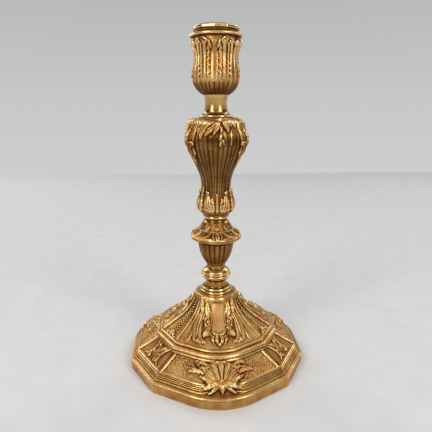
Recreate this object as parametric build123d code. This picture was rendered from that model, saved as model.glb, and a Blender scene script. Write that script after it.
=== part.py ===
from build123d import *
import math
import os

# A gilt bronze table candlestick. Sizes are in millimetres. The origin is on the axis, in the
# plane of the foot's rim. +Z runs up to the candle, and the first wide side faces -Y.

# Plan shared by the cast pieces: three wide sides, each a round bow between two flats, and
# three short straight sides
side_count = 3
side_pitch = 360.0 / side_count
front_angle = -90.0
half_wide_side = 45.0
flat_slope = 31.0
bow_share = 1.024
bow_chords = 8
reed_chords = 3
leaf_chords = 4
turned_sides = 48
plane_limit = 1e-6

# Fits
seat_gap = 0.05
thread_gap = 0.05
rod_gap = 0.25
tenon_gap = 0.15
sleeve_gap = 0.25

# Foot: a hollow casting, given by its corner radius at each level
rim_radius = 75.0
rim_height = 6.4
rim_bead = 1.1
rim_cove = 2.6
rim_reed = 0.6
rim_reed_count = 3
slope_foot_radius = 68.2
slope_top_radius = 51.2
slope_height = 8.2
belt_bead = 0.8
belt_roll = 1.9
belt_reed = 0.8
belt_gap = 0.5
dome_foot_radius = 47.0
dome_shoulder_radius = 18.2
dome_shoulder_height = 27.6
dome_hollow = 0.13
crown_radius = 14.0
crown_height = 1.5
foot_wall = 2.8
crown_wall = 3.4
dome_rib_width = 6.0
dome_rib_relief = 0.9
dome_leaf_relief = 1.1
dome_levels = 10
dome_lean = 45.0
hollow_shares = (0.12, 0.35, 0.6, 0.85)
tongue_half_width = 6.5
tongue_depth = 3.2

# Fan shell on each wide side of the slope, and the leaf cluster under it
shell_reach = 15.0
shell_height = 3.0
shell_valley = 1.6
shell_lobes = 5
shell_spread = 76.0
shell_root = 0.06
shell_peak = 0.34
shell_centre = 0.1
shell_notch = 0.86
shell_lobe_fall = 0.8
shell_notch_fall = 0.5
knot_height = 2.4
knot_crest = 1.0
knot_arm = 11.0
knot_half_width = 13.0
knot_tail = 5.0
knot_rise = 0.1
knot_dip = 0.06
carving_sink = 1.2
carving_edge = 0.4
carving_lip = 0.6

# Carved lobes on the dome's flanks and the drop below its tongue: degrees across and shares
# of the dome's height
acanthus_angle = 29.0
acanthus_half_angle = 7.0
acanthus_tip_half_angle = 4.0
acanthus_toe = 0.06
acanthus_foot = 0.12
acanthus_peak = 0.4
acanthus_middle = 0.5
acanthus_top = 0.82
acanthus_height = 1.7
drop_half_angle = 9.0
drop_toe_half_angle = 7.0
drop_toe = 0.05
drop_foot = 0.1
drop_peak = 0.18
drop_shoulder = 0.26
drop_top = 0.32
drop_edge = 0.5
drop_height = 1.9

# Collar: two turned rings and a hollow neck on the crown of the foot
collar_height = 9.8
collar_ring_radius = 13.4
collar_ring = 0.95
collar_second_radius = 12.2
collar_second = 1.0
collar_gap = 0.3
collar_neck_radius = 8.8
collar_neck_share = 0.76
collar_neck_flare = 0.9
collar_top_radius = 9.3

# Knop: a turned boss with two reeds at its widest
knop_height = 12.8
knop_radius = 12.8
knop_body_radius = 12.0
knop_reed = 0.9
knop_gap = 0.3
knop_under = 3.8
knop_band = 1.8
knop_swell = 0.8
knop_neck_height = 1.4
knop_neck_radius = 7.7

# Vase: a reeded cup below a three-sided plate
vase_neck_height = 2.4
vase_foot_radius = 8.3
vase_shoulder_radius = 14.8
vase_body_height = 18.6
vase_belly = 0.6
vase_reed_count = 5
vase_reed_relief = 0.6
vase_reed_start = 0.55
vase_reed_margin = 3.0
vase_short_relief = 0.6
vase_shares = (0.0, 0.33, 0.67, 1.0)
plate_radius = 21.2
plate_edge = 4.4
plate_under = 2.6
plate_lower_step = 0.9
plate_upper_step = 1.6
plate_slope = 5.2
plate_cap_radius = 15.0
plate_cap = 2.6
plate_cap_flare = 1.2
plate_cap_taper = 1.0
plate_top_radius = 11.2
plate_top_slope = 2.5

# Neck ring between the plate and the shaft
ring_height = 5.3
ring_radius = 10.6
ring_waist_radius = 9.2
ring_waist_share = 0.42

# Shaft: a three-sided baluster with reeded faces
shaft_height = 77.9
shaft_seat_radius = 11.0
shaft_bulb_radius = 14.8
shaft_bulb_height = 6.4
shaft_waist_radius = 11.6
shaft_waist_height = 24.8
shaft_shoulder_radius = 24.2
shaft_shoulder_height = 62.6
shaft_crown_radius = 21.4
shaft_crown_height = 73.0
shaft_top_radius = 14.4
shaft_reed_count = 4
shaft_reed_relief = 0.7
shaft_reeded_half_angle = 38.0
shaft_reed_start = 0.25
corner_scroll_relief = 1.4
corner_scroll_start = 0.2

# Leaf spray on the shaft: each point's degrees across and share of the reach, by turns a
# notch and a tip, then the cartouche on each corner
spray_points = (
    (-34, 0.1),
    (-28, 0.75),
    (-17, 0.45),
    (-9, 0.95),
    (-2, 0.6),
    (7, 1.45),
    (11, 0.55),
    (20, 0.95),
    (25, 0.35),
    (31, 0.1),
)
spray_top_angles = (14, -16)
spray_middle_angle = 2
spray_height = 2.6
spray_tip_height = 1.5
spray_notch_height = 0.8
spray_reach = 10.0
spray_drop = 1.0
spray_top_rise = 2.0
spray_peak_drop = 2.5
cartouche_height = 1.9
cartouche_edge = 1.4
cartouche_rise = 2.0
cartouche_cut = 0.45
cartouche_half_length = 7.5
cartouche_half_angle = 12.0

# Spool: the turned, polished neck below the socket
spool_height = 16.8
spool_base_radius = 13.5
spool_base_height = 1.6
spool_shoulder_radius = 9.4
spool_shoulder_height = 4.6
spool_waist_radius = 8.65
spool_waist_share = 0.62
spool_top_radius = 9.2
spool_lip = 1.4

# Socket: a ribbed cup, screwed on with its sides turned a little from the foot's
socket_turn = -8.0
socket_height = 44.0
socket_seat_radius = 9.8
socket_belly_radius = 17.9
socket_belly_height = 11.0
belly_roundness = 0.8
socket_waist_radius = 16.0
socket_waist_height = 29.0
socket_flare_radius = 19.4
socket_flare_height = 38.6
socket_rim_radius = 20.2
socket_rim_bow = 0.93
socket_rib_count = 5
socket_rib_relief = 0.6
socket_rib_fade = 0.75
socket_rib_margin = 4.0
socket_floor = 19.0

# Nozzle: a lift-out sleeve with a faceted drip rim
nozzle_turn = 69.0
candle_radius = 11.2
sleeve_wall = 1.2
sleeve_length = 22.8
nozzle_rim_radius = 18.0
nozzle_rim_height = 4.4
nozzle_rim_edge = 0.5
nozzle_top_radius = 15.4
nozzle_bevel = 1.6
nozzle_flat_share = 0.5
nozzle_bevel_share = 0.8
nozzle_shoulder_radius = 15.2
nozzle_shoulder_height = 0.9
drip_depth = 1.2
drip_radius = 13.8

# Tie rod, washer and nut that clamp the stack together
rod_radius = 3.0
rod_tail = 4.5
rod_thread_depth = 14.0
washer_radius = 8.5
washer_thickness = 1.6
nut_across_flats = 10.0
nut_height = 5.0

# Square tenons that key each piece to the one below, and the socket's round one
tenon_side = 9.0
tenon_height = 1.6
spigot_radius = 5.2

# Heights of the joints, from the rim plane up
rim_reeds_height = rim_reed_count * 2 * rim_reed
slope_foot_z = rim_height + 2 * rim_bead + rim_cove + rim_reeds_height
belt_z = slope_foot_z + slope_height
dome_foot_z = belt_z + 2 * (belt_bead + belt_roll + belt_reed) + 3 * belt_gap
foot_top = dome_foot_z + dome_shoulder_height + crown_height
collar_z = foot_top + seat_gap
knop_z = collar_z + collar_height + seat_gap
vase_z = knop_z + knop_height + seat_gap
plate_z = vase_z + vase_neck_height + vase_body_height
vase_top = plate_z + plate_under + plate_edge + plate_slope + plate_cap + plate_top_slope
ring_z = vase_top + seat_gap
shaft_z = ring_z + ring_height + seat_gap
spool_z = shaft_z + shaft_height + seat_gap
socket_z = spool_z + spool_height + seat_gap
socket_top = socket_z + socket_height
nozzle_z = socket_top + seat_gap
rod_hole_radius = rod_radius + rod_gap
sleeve_radius = candle_radius + sleeve_wall
socket_bore_radius = sleeve_radius + sleeve_gap


def place(radius, angle, z):
    """Point at a radius and a direction, where 0 degrees is the middle of the first wide side."""
    turn = math.radians(front_angle + angle)
    return Vector(radius * math.cos(turn), radius * math.sin(turn), z)


def bow_sizes(corner_radius, bow):
    """Half width, arc radius and arc centre of the round bow in the middle of a wide side."""
    half = math.radians(half_wide_side)
    slope = math.radians(flat_slope)
    reach = corner_radius * (math.cos(half) + math.tan(slope) * math.sin(half))
    half_bow = (reach - corner_radius * bow) / (math.tan(slope) - math.tan(slope / 2))
    arc_radius = half_bow / math.sin(slope)
    return half_bow, arc_radius, corner_radius * bow - arc_radius


def side_radius(corner_radius, angle, bow):
    """Radius of a wide side at an angle from its middle: a bow, with a flat out to each corner."""
    half_bow, arc_radius, centre = bow_sizes(corner_radius, bow)
    slope = math.radians(flat_slope)
    bow_end = math.atan2(half_bow, centre + arc_radius * math.cos(slope))
    a = abs(math.radians(angle))
    if a <= bow_end:
        return centre * math.cos(a) + math.sqrt(arc_radius**2 - (centre * math.sin(a)) ** 2)
    half = math.radians(half_wide_side)
    reach = corner_radius * (math.cos(half) + math.tan(slope) * math.sin(half))
    return reach / (math.cos(a) + math.tan(slope) * math.sin(a))


def plain_side(bow):
    """Spans of a wide side with no reeds: flat, bow, flat."""
    half_bow, arc_radius, centre = bow_sizes(1.0, bow)
    rise = arc_radius * math.cos(math.radians(flat_slope))
    bow_end = math.degrees(math.atan2(half_bow, centre + rise))
    return [(-half_wide_side, -bow_end, 0, 1), (-bow_end, bow_end, 0, bow_chords), (bow_end, half_wide_side, 0, 1)]


def outline(z, corner_radius, spans=None, short_relief=0.0, turn=0.0, bow=bow_share):
    """Ring of points of the outline at one level.

    Spans are (start, end, relief, chords) across each wide side: the curve between two angles stands
    out by the relief in its middle, and is drawn with so many chords.
    """
    points = []
    for side in range(side_count):
        middle = side * side_pitch + turn
        for start, end, relief, chords in spans or plain_side(bow):
            for i in range(chords):
                share = i / chords
                angle = start + (end - start) * share
                crest = 4 * relief * share * (1 - share)
                points.append(place(side_radius(corner_radius, angle, bow) + crest, middle + angle, z))
        points.append(place(corner_radius, middle + half_wide_side, z))
        if short_relief:
            crest = corner_radius * math.cos(math.radians(side_pitch / 2 - half_wide_side)) + short_relief
            points.append(place(crest, middle + side_pitch / 2, z))
    return points


def circle(z, radius):
    """Ring of points of a turned outline."""
    return [place(radius, 360 * i / turned_sides, z) for i in range(turned_sides)]


def flat_face(*corners):
    return Face(Wire.make_polygon(corners))


def skin(rings):
    """Solid closed by flat faces between rings of points, two triangles where four points are out of plane."""
    faces = [flat_face(*rings[0]), flat_face(*rings[-1])]
    for lower, upper in zip(rings, rings[1:]):
        for i in range(len(lower)):
            a, b = lower[i - 1], lower[i]
            d, c = upper[i - 1], upper[i]
            if abs((b - a).cross(d - a).dot(c - a)) < plane_limit:
                faces.append(flat_face(a, b, c, d))
            else:
                faces += [flat_face(a, b, c), flat_face(a, c, d)]
    return Solid(Shell(faces))


def reeds(count, half_angle, relief):
    """Equal round reeds across a wide side, with a plain margin out to each corner."""
    step = 2 * half_angle / count
    spans = [(-half_wide_side, -half_angle, 0, 1)]
    for i in range(count):
        spans.append((-half_angle + i * step, -half_angle + (i + 1) * step, relief, reed_chords))
    spans.append((half_angle, half_wide_side, 0, 1))
    return spans


def half_round(radius, z, size, facets=3):
    """Levels of a bead of the given half height, standing out from a radius."""
    turns = [math.pi * i / facets for i in range(facets + 1)]
    return [(radius + size * math.sin(t), z + size * (1 - math.cos(t))) for t in turns]


def stepped(levels):
    """Solid between plain outlines of the shared plan, given as (corner radius, z)."""
    return skin([outline(z, radius) for radius, z in levels])


def turned(steps, hole):
    """Turned piece from (radius, z) steps, bored through."""
    body = skin([circle(z, radius) for radius, z in steps])
    return body - post(hole, steps[0][1] - 1, steps[-1][1] + 1)


def post(radius, bottom, top):
    """Plain round bar on the axis."""
    height = top - bottom
    return Pos(0, 0, bottom) * Cylinder(radius, height, align=(Align.CENTER, Align.CENTER, Align.MIN))


def block(side, bottom, top):
    """Plain square bar on the axis."""
    height = top - bottom
    return Pos(0, 0, bottom) * Box(side, side, height, align=(Align.CENTER, Align.CENTER, Align.MIN))


def with_tenon(body, z):
    """Adds the square tenon that keys a piece to the one below, bored for the rod."""
    tenon = block(tenon_side, z - tenon_height, z) - post(rod_hole_radius, z - tenon_height - 1, z + 1)
    return body + tenon


def with_recess(body, z):
    """Cuts the square recess for the next piece's tenon into the top of a piece."""
    return body - block(tenon_side + 2 * tenon_gap, z - tenon_height - tenon_gap, z + 1)


def rim_levels():
    """Rim wall, bead, cove and reeds, up to the foot of the slope."""
    z = rim_height
    levels = [(rim_radius, 0.0), (rim_radius, z)]
    levels += half_round(rim_radius - rim_bead / 2, z, rim_bead)[1:]
    z += 2 * rim_bead
    cove_foot = rim_radius - rim_bead
    reed_foot = slope_foot_radius + rim_reeds_height / 2
    for share in (0.5, 1.0):
        curve = math.sin(share * math.pi / 2)
        levels.append((cove_foot + (reed_foot - cove_foot) * curve, z + rim_cove * share))
    z += rim_cove
    for i in range(rim_reed_count):
        levels += half_round(reed_foot - i * rim_reed, z, rim_reed, 2)[1:]
        z += 2 * rim_reed
    return levels


def belt_levels():
    """Bead, roll and reed of the belt at the top of the slope."""
    z = belt_z
    levels = half_round(slope_top_radius - belt_bead / 2, z, belt_bead)
    z += 2 * belt_bead + belt_gap
    levels += half_round(slope_top_radius - belt_bead, z, belt_roll, 4)
    z += 2 * belt_roll + belt_gap
    levels += half_round(dome_foot_radius + belt_reed, z, belt_reed)
    z += 2 * belt_reed + belt_gap
    return levels + [(dome_foot_radius, z)]


def dome_radius(share):
    """Corner radius of the dome at a share of its height: a trumpet curve."""
    straight = dome_foot_radius + (dome_shoulder_radius - dome_foot_radius) * share
    sag = dome_hollow * (dome_foot_radius - dome_shoulder_radius) * math.sin(math.pi * share)
    return straight - sag


def dome_outline(share):
    """Ribs at the corners, a leaf on each flank and a scooped tongue in the middle."""
    z = dome_foot_z + dome_shoulder_height * share
    radius = dome_radius(share)
    rib = half_wide_side - dome_rib_width
    leaf = math.degrees(math.asin(tongue_half_width / radius))
    swell = 0.4 + 0.6 * math.sin(math.pi * share)
    scoop = -tongue_depth * (0.08 + 0.92 * share**1.5)
    spans = [
        (-half_wide_side, -rib, dome_rib_relief * swell, reed_chords),
        (-rib, -leaf, dome_leaf_relief * swell, leaf_chords),
        (-leaf, leaf, scoop, leaf_chords),
        (leaf, rib, dome_leaf_relief * swell, leaf_chords),
        (rib, half_wide_side, dome_rib_relief * swell, reed_chords),
    ]
    return outline(z, radius, spans)


def carving(on, middle, rim):
    """Raised form on a surface: a peak and a rim of points round it, sunk into the piece.

    `on` turns (across, along, height) into a point. Every face is flat.
    """
    top = [on(*point) for point in rim]
    base = [on(across, along, -carving_sink) for across, along, height in rim]
    peak, foot_point = on(*middle), on(middle[0], middle[1], -carving_sink)
    faces = []
    for i in range(len(rim)):
        faces.append(flat_face(peak, top[i - 1], top[i]))
        faces.append(flat_face(foot_point, base[i], base[i - 1]))
        faces.append(flat_face(top[i - 1], base[i - 1], base[i]))
        faces.append(flat_face(top[i - 1], base[i], top[i]))
    return Solid(Shell(faces))


def slope_point(middle):
    """Maps a place on the slope, as mm across and share of its height, to a point."""
    run = slope_foot_radius - slope_top_radius
    length = math.hypot(run, slope_height)

    def on(across, share, height):
        radius = slope_foot_radius - run * share
        angle = math.degrees(across / (radius * bow_share))
        rise = height * run / length
        reach = side_radius(radius, angle, bow_share) + height * slope_height / length
        return place(reach, middle + angle, slope_foot_z + slope_height * share + rise)

    return on


def dome_point(middle):
    """Maps degrees across and a share of the dome's height to a point."""

    def on(angle, share, height):
        out = height * math.cos(math.radians(dome_lean))
        reach = side_radius(dome_radius(share), angle, bow_share) + out
        return place(reach, middle + angle, dome_foot_z + dome_shoulder_height * share + out)

    return on


def shaft_point(middle):
    """Maps degrees across and a height on the shaft to a point."""

    def on(angle, level, height):
        radius = shaft_radius(level)
        if abs(angle) <= half_wide_side:
            reach = side_radius(radius, angle, bow_share)
        else:
            short = side_pitch / 2
            flat = math.cos(math.radians(short - half_wide_side))
            reach = radius * flat / math.cos(math.radians(abs(angle) - short))
        return place(reach + height, middle + angle, shaft_z + level)

    return on


def mirrored(half):
    """The other half of a rim, in the order that closes it."""
    return [(-across, along, height) for across, along, height in reversed(half)]


def shell_rim():
    """Rim of the fan: a high point at each lobe's end and a low one between lobes."""
    length = math.hypot(slope_foot_radius - slope_top_radius, slope_height)
    rim = [(0.0, shell_root, shell_valley)]
    steps = 2 * shell_lobes
    for i in range(steps + 1):
        lean = math.radians(shell_spread * (2 * i / steps - 1))
        crest = i % 2
        reach = shell_reach * (1.0 if crest else shell_notch)
        share = shell_centre + reach * math.cos(lean) / length
        height = shell_height * shell_lobe_fall if crest else shell_valley * shell_notch_fall
        rim.append((reach * math.sin(lean), share, height))
    return rim


def foot_carvings(middle):
    """Shell and knot on the slope, and acanthus lobes and a drop on the dome, for one wide side."""
    slope, dome = slope_point(middle), dome_point(middle)
    forms = [carving(slope, (0.0, shell_peak, shell_height), shell_rim())]
    half = [
        (knot_arm, knot_rise, carving_lip),
        (knot_half_width, -knot_dip, carving_edge),
        (knot_tail, -knot_rise, carving_lip),
    ]
    knot = [(0.0, knot_rise, knot_crest)] + half + mirrored(half)
    forms.append(carving(slope, (0.0, 0.0, knot_height), knot))
    half = [
        (acanthus_half_angle, acanthus_foot, carving_edge),
        (acanthus_half_angle, acanthus_middle, carving_lip),
        (acanthus_tip_half_angle, acanthus_top, carving_edge),
    ]
    lobe = [(0.0, acanthus_toe, carving_edge)] + half + mirrored(half)
    for side in (-1, 1):
        rim = [(side * (acanthus_angle + across), share, height) for across, share, height in lobe]
        peak = (side * acanthus_angle, acanthus_peak, acanthus_height)
        forms.append(carving(dome, peak, rim))
    half = [(drop_toe_half_angle, drop_foot, carving_edge), (drop_half_angle, drop_shoulder, drop_edge)]
    toe, top = (0.0, drop_toe, carving_edge), (0.0, drop_top, carving_lip)
    forms.append(carving(dome, (0.0, drop_peak, drop_height), [toe] + half + [top] + mirrored(half)))
    return forms


def shaft_carvings(middle):
    """Leaf spray over a wide side of the shaft and the cartouche on the corner beside it."""
    on = shaft_point(middle)
    root = shaft_crown_height - spray_drop
    spray = []
    for i, (angle, share) in enumerate(spray_points):
        height = spray_tip_height if i % 2 else spray_notch_height
        spray.append((angle, root - spray_reach * share, height))
    spray += [(angle, root + spray_top_rise, spray_notch_height) for angle in spray_top_angles]
    forms = [carving(on, (spray_middle_angle, root - spray_peak_drop, spray_height), spray)]
    corner, wide, cut = side_pitch / 2, cartouche_half_angle, cartouche_cut
    centre = shaft_shoulder_height + cartouche_rise
    ring = [(-wide, -cut), (-wide, cut), (0, 1), (wide, cut), (wide, -cut), (0, -1)]
    oval = [(corner + x, centre + cartouche_half_length * y, cartouche_edge) for x, y in ring]
    forms.append(carving(on, (corner, centre, corner_scroll_relief + cartouche_height), oval))
    return forms


def make_foot():
    lower = stepped(rim_levels() + belt_levels())
    dome = skin([dome_outline(i / dome_levels) for i in range(dome_levels + 1)])
    waist = dome_shoulder_radius - tongue_depth
    crown_rings = [outline(foot_top - crown_height, waist), outline(foot_top, crown_radius)]
    dome += skin(crown_rings)
    for side in range(side_count):
        for form in foot_carvings(side * side_pitch):
            lower += form
    hollow_levels = [
        (rim_radius - foot_wall, -1.0),
        (rim_radius - foot_wall, rim_height),
        (slope_foot_radius - foot_wall, slope_foot_z - foot_wall),
        (slope_top_radius - foot_wall, belt_z - foot_wall),
        (slope_top_radius - foot_wall, dome_foot_z - foot_wall),
    ]
    under = foot_wall / math.cos(math.radians(dome_lean))
    for share in hollow_shares:
        hollow_levels.append((dome_radius(share) - under, dome_foot_z + dome_shoulder_height * share))
    hollow_levels.append((crown_radius, foot_top - crown_wall))
    foot = lower + dome - stepped(hollow_levels) - post(rod_hole_radius, belt_z, foot_top + 1)
    return with_recess(foot, foot_top)


def make_collar():
    z = collar_z
    ring_z = z + 2 * collar_ring
    second_z = ring_z + collar_gap
    neck_z = z + collar_height * collar_neck_share
    steps = [
        (collar_ring_radius, z),
        (collar_ring_radius, ring_z),
        (collar_second_radius - collar_second, ring_z),
        (collar_second_radius - collar_second, second_z),
        (collar_second_radius, second_z),
        (collar_second_radius, second_z + 2 * collar_second),
        (collar_neck_radius + collar_neck_flare, second_z + 2 * collar_second),
        (collar_neck_radius, neck_z),
        (collar_top_radius, z + collar_height),
    ]
    return with_recess(with_tenon(turned(steps, rod_hole_radius), z), z + collar_height)


def make_knop():
    z = knop_z
    reed_z = z + knop_under
    second_z = reed_z + 2 * knop_reed
    body_z = second_z + knop_band * knop_reed
    shoulder = ((knop_body_radius + knop_neck_radius) / 2 + knop_swell, (body_z + z + knop_height) / 2)
    steps = [
        (collar_top_radius, z),
        (knop_radius, reed_z),
        (knop_radius, second_z - knop_gap),
        (knop_radius - knop_reed, second_z),
        (knop_body_radius, second_z),
        (knop_body_radius, body_z),
        shoulder,
        (knop_neck_radius, z + knop_height - knop_neck_height),
        (knop_neck_radius, z + knop_height),
    ]
    return with_recess(with_tenon(turned(steps, rod_hole_radius), z), z + knop_height)


def make_vase():
    z = vase_z
    neck = turned([(knop_neck_radius, z), (vase_foot_radius, z + vase_neck_height)], rod_hole_radius)
    rings = []
    for share in vase_shares:
        swell = vase_belly * math.sin(math.pi * share)
        radius = vase_foot_radius + (vase_shoulder_radius - vase_foot_radius) * share + swell
        relief = vase_reed_relief * (vase_reed_start + (1 - vase_reed_start) * share)
        spans = reeds(vase_reed_count, half_wide_side - vase_reed_margin, relief)
        level = z + vase_neck_height + vase_body_height * share
        rings.append(outline(level, radius, spans, vase_short_relief))
    body = skin(rings)
    slope_z = plate_z + plate_under + plate_edge
    cap_z = slope_z + plate_slope
    plate = stepped(
        [
            (vase_shoulder_radius, plate_z),
            (plate_radius - plate_lower_step, plate_z + plate_under),
            (plate_radius, plate_z + plate_under + plate_edge / 2),
            (plate_radius - plate_upper_step, slope_z),
            (plate_cap_radius + plate_cap_flare, slope_z + plate_slope / 2),
            (plate_cap_radius, cap_z),
            (plate_cap_radius - plate_cap_taper, cap_z + plate_cap),
            (plate_top_radius, vase_top),
        ]
    )
    solid = neck + body + plate - post(rod_hole_radius, z - 1, vase_top + 1)
    return with_recess(with_tenon(solid, z), vase_top)


def make_neck_ring():
    z = ring_z
    waist_z = z + ring_height * ring_waist_share
    steps = [(plate_top_radius, z), (ring_waist_radius, waist_z), (ring_radius, z + ring_height)]
    return with_recess(with_tenon(turned(steps, rod_hole_radius), z), z + ring_height)


def shaft_radius(height):
    """Corner radius of the shaft, eased from one turning point to the next."""
    points = [
        (0.0, shaft_seat_radius),
        (shaft_bulb_height, shaft_bulb_radius),
        (shaft_waist_height, shaft_waist_radius),
        (shaft_shoulder_height, shaft_shoulder_radius),
        (shaft_crown_height, shaft_crown_radius),
        (shaft_height, shaft_top_radius),
    ]
    for (h0, r0), (h1, r1) in zip(points, points[1:]):
        if height <= h1:
            share = (height - h0) / (h1 - h0)
            return r0 + (r1 - r0) * (1 - math.cos(math.pi * share)) / 2
    return shaft_top_radius


def make_shaft():
    lower = shaft_waist_height - shaft_bulb_height
    upper = shaft_shoulder_height - shaft_waist_height
    shoulder = shaft_crown_height - shaft_shoulder_height
    crown = shaft_height - shaft_crown_height
    levels = [0.0, shaft_bulb_height * 0.45, shaft_bulb_height]
    levels += [shaft_bulb_height + lower * share for share in (0.35, 0.7, 1.0)]
    levels += [shaft_waist_height + upper * share for share in (0.25, 0.5, 0.75, 1.0)]
    levels += [shaft_shoulder_height + shoulder * share for share in (0.5, 1.0)]
    levels += [shaft_crown_height + crown * share for share in (0.5, 1.0)]
    rings = []
    for height in levels:
        share = height / shaft_height
        swell = shaft_reed_start + (1 - shaft_reed_start) * math.sin(math.pi * share)
        spans = reeds(shaft_reed_count, shaft_reeded_half_angle, shaft_reed_relief * swell)
        scroll = corner_scroll_relief * (corner_scroll_start + (1 - corner_scroll_start) * share)
        rings.append(outline(shaft_z + height, shaft_radius(height), spans, scroll))
    top = shaft_z + shaft_height
    shaft = skin(rings)
    for side in range(side_count):
        for form in shaft_carvings(side * side_pitch):
            shaft += form
    shaft -= post(rod_hole_radius, shaft_z - 1, top + 1)
    return with_recess(with_tenon(shaft, shaft_z), top)


def make_spool():
    z = spool_z
    lip_z = z + spool_height - spool_lip
    steps = [
        (spool_base_radius, z),
        (spool_base_radius, z + spool_base_height),
        (spool_shoulder_radius, z + spool_shoulder_height),
        (spool_waist_radius, z + spool_height * spool_waist_share),
        (spool_top_radius, lip_z),
        (spool_top_radius, z + spool_height),
    ]
    spigot_hole = post(spigot_radius + tenon_gap, socket_z - seat_gap - tenon_height - tenon_gap, socket_z)
    return with_tenon(turned(steps, rod_hole_radius), z) - spigot_hole


def socket_radius(height):
    """Corner radius of the socket: belly, waist and flare, eased between turning points."""
    points = [
        (socket_belly_height, socket_belly_radius),
        (socket_waist_height, socket_waist_radius),
        (socket_flare_height, socket_flare_radius),
        (socket_height, socket_rim_radius),
    ]
    if height < socket_belly_height:
        swell = math.sin(math.pi / 2 * (height / socket_belly_height) ** belly_roundness)
        return socket_seat_radius + (socket_belly_radius - socket_seat_radius) * swell
    for (h0, r0), (h1, r1) in zip(points, points[1:]):
        if height <= h1:
            share = (height - h0) / (h1 - h0)
            return r0 + (r1 - r0) * (1 - math.cos(math.pi * share)) / 2
    return socket_rim_radius


def make_socket():
    z = socket_z
    belly = [socket_belly_height * share for share in (0.0, 0.15, 0.45, 1.0)]
    wall = socket_waist_height - socket_belly_height
    flare = socket_flare_height - socket_waist_height
    lip = socket_height - socket_flare_height
    levels = belly + [socket_belly_height + wall * share for share in (0.5, 1.0)]
    levels += [socket_waist_height + flare * share for share in (0.55, 1.0)]
    levels += [socket_flare_height + lip * share for share in (0.5, 1.0)]
    rings = []
    for height in levels:
        share = height / socket_height
        relief = socket_rib_relief * (1 - socket_rib_fade * abs(2 * share - 1) ** 3)
        spans = reeds(socket_rib_count, half_wide_side - socket_rib_margin, relief)
        bow = bow_share + (socket_rim_bow - bow_share) * share**4
        rings.append(outline(z + height, socket_radius(height), spans, socket_rib_relief, socket_turn, bow))
    cup = skin(rings)
    bore = post(socket_bore_radius, z + socket_floor, socket_top + 1)
    spigot = post(spigot_radius, z - tenon_height, z)
    thread = post(rod_radius + thread_gap, z - tenon_height - 1, z + rod_thread_depth + 1)
    return cup + spigot - bore - thread


def make_nozzle():
    z = nozzle_z
    rim_z = z + nozzle_shoulder_height
    top = rim_z + nozzle_rim_height
    levels = [
        (nozzle_rim_radius - nozzle_rim_edge, rim_z),
        (nozzle_rim_radius, rim_z + nozzle_rim_edge),
        (nozzle_rim_radius, rim_z + nozzle_rim_height * nozzle_flat_share),
        (nozzle_top_radius + nozzle_bevel, rim_z + nozzle_rim_height * nozzle_bevel_share),
        (nozzle_top_radius, top),
    ]
    rim = skin([outline(level, radius, turn=nozzle_turn) for radius, level in levels])
    shoulder = post(nozzle_shoulder_radius, z, rim_z)
    sleeve = post(sleeve_radius, z - sleeve_length, z)
    dish = Pos(0, 0, top - drip_depth) * Cone(
        candle_radius, drip_radius, drip_depth, align=(Align.CENTER, Align.CENTER, Align.MIN)
    )
    bore = post(candle_radius, z - sleeve_length - 1, top + 1)
    return rim + shoulder + sleeve - dish - bore


def make_tie_rod():
    bottom = foot_top - crown_wall - washer_thickness - nut_height - rod_tail
    return post(rod_radius, bottom, socket_z + rod_thread_depth)


def make_washer():
    top = foot_top - crown_wall - seat_gap
    return post(washer_radius, top - washer_thickness, top) - post(rod_hole_radius, 0, foot_top)


def make_nut():
    top = foot_top - crown_wall - washer_thickness - 2 * seat_gap
    hexagon = extrude(RegularPolygon(nut_across_flats / 2, 6, major_radius=False), nut_height)
    nut = Pos(0, 0, top - nut_height) * hexagon
    return nut - post(rod_radius + thread_gap, 0, foot_top)


os.makedirs("parts", exist_ok=True)
makers = {
    "foot": make_foot,
    "foot_collar": make_collar,
    "knop": make_knop,
    "vase": make_vase,
    "neck_ring": make_neck_ring,
    "shaft": make_shaft,
    "spool": make_spool,
    "socket": make_socket,
    "nozzle": make_nozzle,
    "tie_rod": make_tie_rod,
    "washer": make_washer,
    "nut": make_nut,
}
for name, maker in makers.items():
    export_step(maker(), f"parts/{name}.step")
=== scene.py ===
import math

import bpy
import numpy as np
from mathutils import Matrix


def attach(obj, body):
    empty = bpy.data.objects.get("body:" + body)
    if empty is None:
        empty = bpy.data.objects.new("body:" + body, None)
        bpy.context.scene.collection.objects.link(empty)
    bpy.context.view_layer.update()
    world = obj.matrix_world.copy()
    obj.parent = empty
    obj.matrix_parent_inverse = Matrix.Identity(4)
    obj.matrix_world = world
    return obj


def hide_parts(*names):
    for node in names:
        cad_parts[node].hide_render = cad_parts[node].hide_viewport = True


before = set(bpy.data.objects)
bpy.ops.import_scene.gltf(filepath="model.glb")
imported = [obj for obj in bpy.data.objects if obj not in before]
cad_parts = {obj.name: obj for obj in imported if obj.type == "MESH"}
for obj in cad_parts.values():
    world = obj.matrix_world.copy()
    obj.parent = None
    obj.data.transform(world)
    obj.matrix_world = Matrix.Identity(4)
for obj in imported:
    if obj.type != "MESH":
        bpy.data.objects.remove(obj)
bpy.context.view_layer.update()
scene = bpy.context.scene

# The plan is three wide sides of 90 degrees and three short, flat ones of 30. A wide side is a
# round bow, out to BOW times the corner's radius, between flats that slope off at SLOPE.
MM = 0.001
PITCH = math.radians(120)
HALF_WIDE = math.radians(45)
HALF_SHORT = PITCH / 2 - HALF_WIDE
SLOPE = math.radians(31)
FRONT = -math.pi / 2
BOW = 1.024
CREASE_ANGLE = math.radians(48)

# Patina and painted shade in hollows: how far off the ground round a point is felt, in millimetres,
# with its weight, and the most that one reach may count. Undersides get painted shade, and unseen
# sides are darker.
HOLLOW_REACHES = ((0.8, 1.0), (2.2, 0.75), (5.0, 0.35))
HOLLOW_LIMIT = 0.5
UNDERSIDE_SHADE = 0.2
UNSEEN_DARKENING = 0.25

rng = np.random.default_rng(7)


# Plan and profile


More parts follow.
